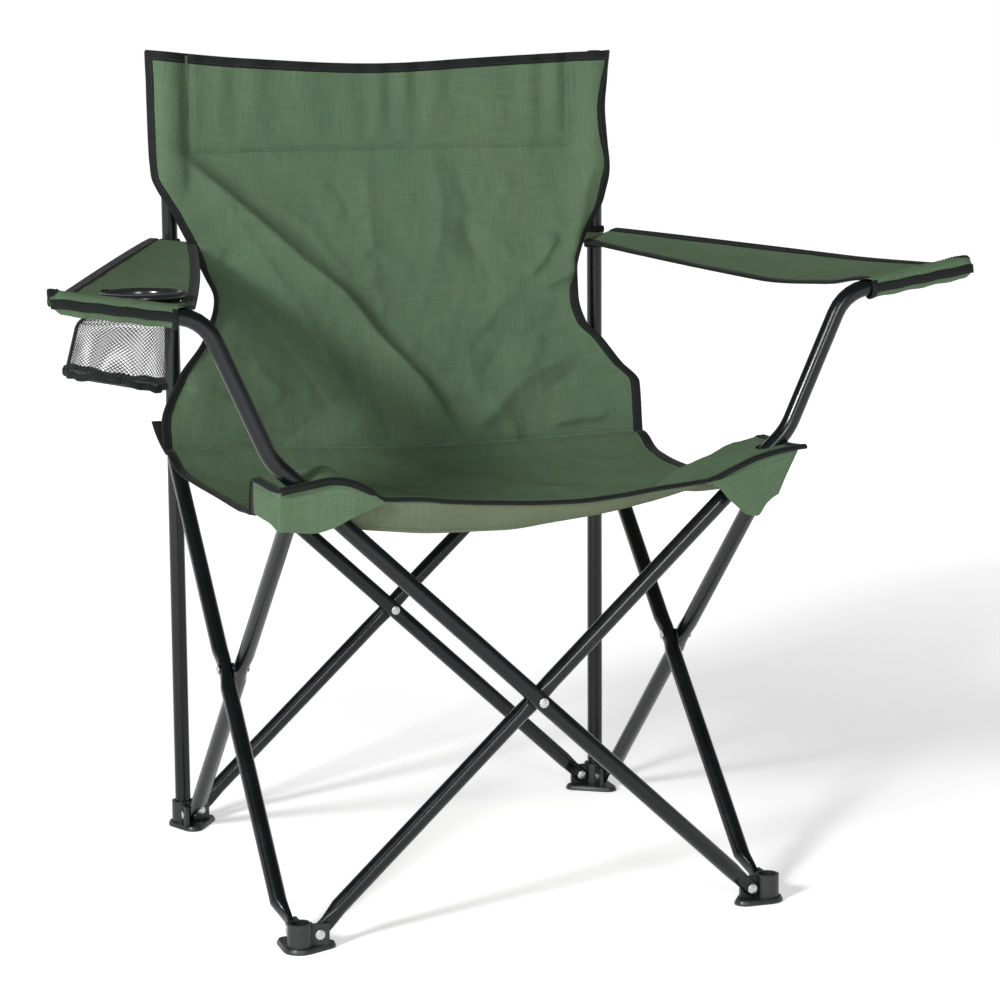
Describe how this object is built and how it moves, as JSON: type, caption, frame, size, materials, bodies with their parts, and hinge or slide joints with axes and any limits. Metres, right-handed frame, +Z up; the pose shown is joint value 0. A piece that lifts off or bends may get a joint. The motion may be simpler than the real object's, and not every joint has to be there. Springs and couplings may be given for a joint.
{
  "type": "folding camp chair",
  "caption": "Folding camp chair: scissor tube frame on moulded feet, slung green fabric seat, back and arms, and a mesh cup holder in one arm.",
  "frame": {"origin": "on the floor, midway between the four feet", "axes": "+Z up, -Y the front of the chair, +X the sitter's left"},
  "size_m": [0.8878, 0.4982, 0.802],
  "materials": {
    "powder_coated_tube": "satin black powder coat",
    "black_plastic": "moulded, fine grain",
    "rivet_steel": "zinc plated",
    "green_polyester": "plain-woven polyester canvas, slight sheen",
    "binding": "woven charcoal binding tape",
    "cup_ring_plastic": "glossy",
    "black_net": "open diamond net"
  },
  "bodies": {
    "frame_root": {"rear_right_foot": "black_plastic", "rear_right_post": "powder_coated_tube", "rear_right_post_plug": "black_plastic", "rear_right_foot_rivet_a": "rivet_steel", "rear_right_foot_rivet_b": "rivet_steel", "back_panel": "green_polyester"},
    "right_inner": {"right_inner_tube": "powder_coated_tube", "right_middle_rivet": "rivet_steel", "right_middle_spacer": "rivet_steel"},
    "right_outer": {"right_outer_tube": "powder_coated_tube"},
    "foot_front_right": {"front_right_foot": "black_plastic", "front_right_foot_rivet_a": "rivet_steel", "front_right_foot_rivet_b": "rivet_steel"},
    "slider_rear_right": {"rear_right_slider": "black_plastic", "rear_right_top_rivet_a": "rivet_steel", "rear_right_top_rivet_b": "rivet_steel"},
    "connector_right": {"front_right_connector": "black_plastic", "front_right_top_rivet_a": "rivet_steel", "front_right_top_rivet_b": "rivet_steel", "right_pocket": "green_polyester"},
    "back_outer": {"back_outer_tube": "powder_coated_tube", "back_middle_rivet": "rivet_steel", "back_middle_spacer": "rivet_steel"},
    "back_inner": {"back_inner_tube": "powder_coated_tube"},
    "foot_rear_left": {"rear_left_foot": "black_plastic", "rear_left_post": "powder_coated_tube", "rear_left_post_plug": "black_plastic", "rear_left_foot_rivet_a": "rivet_steel", "rear_left_foot_rivet_b": "rivet_steel"},
    "slider_rear_left": {"rear_left_slider": "black_plastic", "rear_left_top_rivet_a": "rivet_steel", "rear_left_top_rivet_b": "rivet_steel"},
    "front_inner": {"front_inner_tube": "powder_coated_tube", "left_arm_tube_plug": "black_plastic", "front_middle_rivet": "rivet_steel", "front_middle_spacer": "rivet_steel"},
    "front_outer": {"front_outer_tube": "powder_coated_tube", "right_arm_tube_plug": "black_plastic"},
    "foot_front_left": {"front_left_foot": "black_plastic", "front_left_foot_rivet_a": "rivet_steel", "front_left_foot_rivet_b": "rivet_steel"},
    "connector_left": {"front_left_connector": "black_plastic", "front_left_top_rivet_a": "rivet_steel", "front_left_top_rivet_b": "rivet_steel", "left_pocket": "green_polyester"},
    "left_outer": {"left_outer_tube": "powder_coated_tube", "left_middle_rivet": "rivet_steel", "left_middle_spacer": "rivet_steel"},
    "left_inner": {"left_inner_tube": "powder_coated_tube"},
    "seat_rear": {"seat_rear": "green_polyester"},
    "seat_front": {"seat_front": "green_polyester"},
    "arm_right": {"right_arm": "green_polyester", "cup_ring": "cup_ring_plastic", "cup_bag": "black_net"},
    "arm_left": {"left_arm": "green_polyester"}
  },
  "joints": [
    {"name": "fold", "type": "hinge", "parent": "frame_root", "child": "right_inner", "pos_m": [-0.231, 0.21303, 0.0145], "axis": [-1, 0, 0], "range_deg": [0, 38], "deforming": ["back_panel"]},
    {"name": "right_scissor", "type": "hinge", "parent": "right_inner", "child": "right_outer", "pos_m": [-0.231, 0, 0.21475], "axis": [1, 0, 0], "range_deg": [0, 76]},
    {"name": "front_right_foot_pivot", "type": "hinge", "parent": "right_outer", "child": "foot_front_right", "pos_m": [-0.231, -0.21303, 0.0145], "axis": [-1, 0, 0], "range_deg": [0, 38]},
    {"name": "rear_right_slider_pivot", "type": "hinge", "parent": "right_outer", "child": "slider_rear_right", "pos_m": [-0.231, 0.21303, 0.415], "axis": [-1, 0, 0], "range_deg": [0, 38]},
    {"name": "front_right_connector_pivot", "type": "hinge", "parent": "right_inner", "child": "connector_right", "pos_m": [-0.231, -0.21303, 0.415], "axis": [1, 0, 0], "range_deg": [0, 38]},
    {"name": "back_outer_pivot", "type": "hinge", "parent": "frame_root", "child": "back_outer", "pos_m": [-0.21303, 0.231, 0.0145], "axis": [0, -1, 0], "range_deg": [0, 38]},
    {"name": "back_scissor", "type": "hinge", "parent": "back_outer", "child": "back_inner", "pos_m": [0, 0.231, 0.21475], "axis": [0, 1, 0], "range_deg": [0, 76]},
    {"name": "rear_left_foot_pivot", "type": "hinge", "parent": "back_inner", "child": "foot_rear_left", "pos_m": [0.21303, 0.231, 0.0145], "axis": [0, -1, 0], "range_deg": [0, 38]},
    {"name": "rear_left_slider_pivot", "type": "hinge", "parent": "back_outer", "child": "slider_rear_left", "pos_m": [0.21303, 0.231, 0.415], "axis": [0, 1, 0], "range_deg": [0, 38]},
    {"name": "front_inner_pivot", "type": "hinge", "parent": "foot_front_right", "child": "front_inner", "pos_m": [-0.21303, -0.231, 0.0145], "axis": [0, -1, 0], "range_deg": [0, 38]},
    {"name": "front_scissor", "type": "hinge", "parent": "front_inner", "child": "front_outer", "pos_m": [0, -0.231, 0.21475], "axis": [0, 1, 0], "range_deg": [0, 76]},
    {"name": "front_left_foot_pivot", "type": "hinge", "parent": "front_outer", "child": "foot_front_left", "pos_m": [0.21303, -0.231, 0.0145], "axis": [0, -1, 0], "range_deg": [0, 38]},
    {"name": "front_left_connector_pivot", "type": "hinge", "parent": "front_inner", "child": "connector_left", "pos_m": [0.21303, -0.231, 0.415], "axis": [0, 1, 0], "range_deg": [0, 38]},
    {"name": "left_outer_pivot", "type": "hinge", "parent": "foot_rear_left", "child": "left_outer", "pos_m": [0.231, 0.21303, 0.0145], "axis": [-1, 0, 0], "range_deg": [0, 38]},
    {"name": "left_scissor", "type": "hinge", "parent": "left_outer", "child": "left_inner", "pos_m": [0.231, 0, 0.21475], "axis": [1, 0, 0], "range_deg": [0, 76]},
    {"name": "seat_rear_drop", "type": "hinge", "parent": "slider_rear_right", "child": "seat_rear", "pos_m": [0, 0.16, 0.392], "axis": [1, 0, 0], "range_deg": [0, 66.2], "deforming": ["seat_rear"]},
    {"name": "seat_crease", "type": "hinge", "parent": "seat_rear", "child": "seat_front", "pos_m": [0, -0.038, 0.36104], "axis": [-1, 0, 0], "range_deg": [0, 142.92], "deforming": ["seat_front"]},
    {"name": "right_arm_lift", "type": "hinge", "parent": "frame_root", "child": "arm_right", "pos_m": [-0.231, 0.223, 0.6133], "axis": [-0.8986, 0.4237, 0.1136], "range_deg": [0, 64.56], "deforming": ["right_arm", "cup_ring", "cup_bag"]},
    {"name": "left_arm_lift", "type": "hinge", "parent": "foot_rear_left", "child": "arm_left", "pos_m": [0.231, 0.223, 0.6133], "axis": [-0.8986, -0.4237, -0.1136], "range_deg": [0, 64.56], "deforming": ["left_arm"]}
  ],
  "couplings": [
    {"joint": "right_scissor", "follows": "fold", "ratio": 2},
    {"joint": "front_right_foot_pivot", "follows": "fold", "ratio": 1},
    {"joint": "rear_right_slider_pivot", "follows": "fold", "ratio": 1},
    {"joint": "front_right_connector_pivot", "follows": "fold", "ratio": 1},
    {"joint": "back_outer_pivot", "follows": "fold", "ratio": 1},
    {"joint": "back_scissor", "follows": "fold", "ratio": 2},
    {"joint": "rear_left_foot_pivot", "follows": "fold", "ratio": 1},
    {"joint": "rear_left_slider_pivot", "follows": "fold", "ratio": 1},
    {"joint": "front_inner_pivot", "follows": "fold", "ratio": 1},
    {"joint": "front_scissor", "follows": "fold", "ratio": 2},
    {"joint": "front_left_foot_pivot", "follows": "fold", "ratio": 1},
    {"joint": "front_left_connector_pivot", "follows": "fold", "ratio": 1},
    {"joint": "left_outer_pivot", "follows": "fold", "ratio": 1},
    {"joint": "left_scissor", "follows": "fold", "ratio": 2},
    {"joint": "seat_rear_drop", "follows": "fold", "ratio": 1.742},
    {"joint": "seat_crease", "follows": "fold", "ratio": 3.761},
    {"joint": "right_arm_lift", "follows": "fold", "ratio": 1.699},
    {"joint": "left_arm_lift", "follows": "fold", "ratio": 1.699}
  ]
}
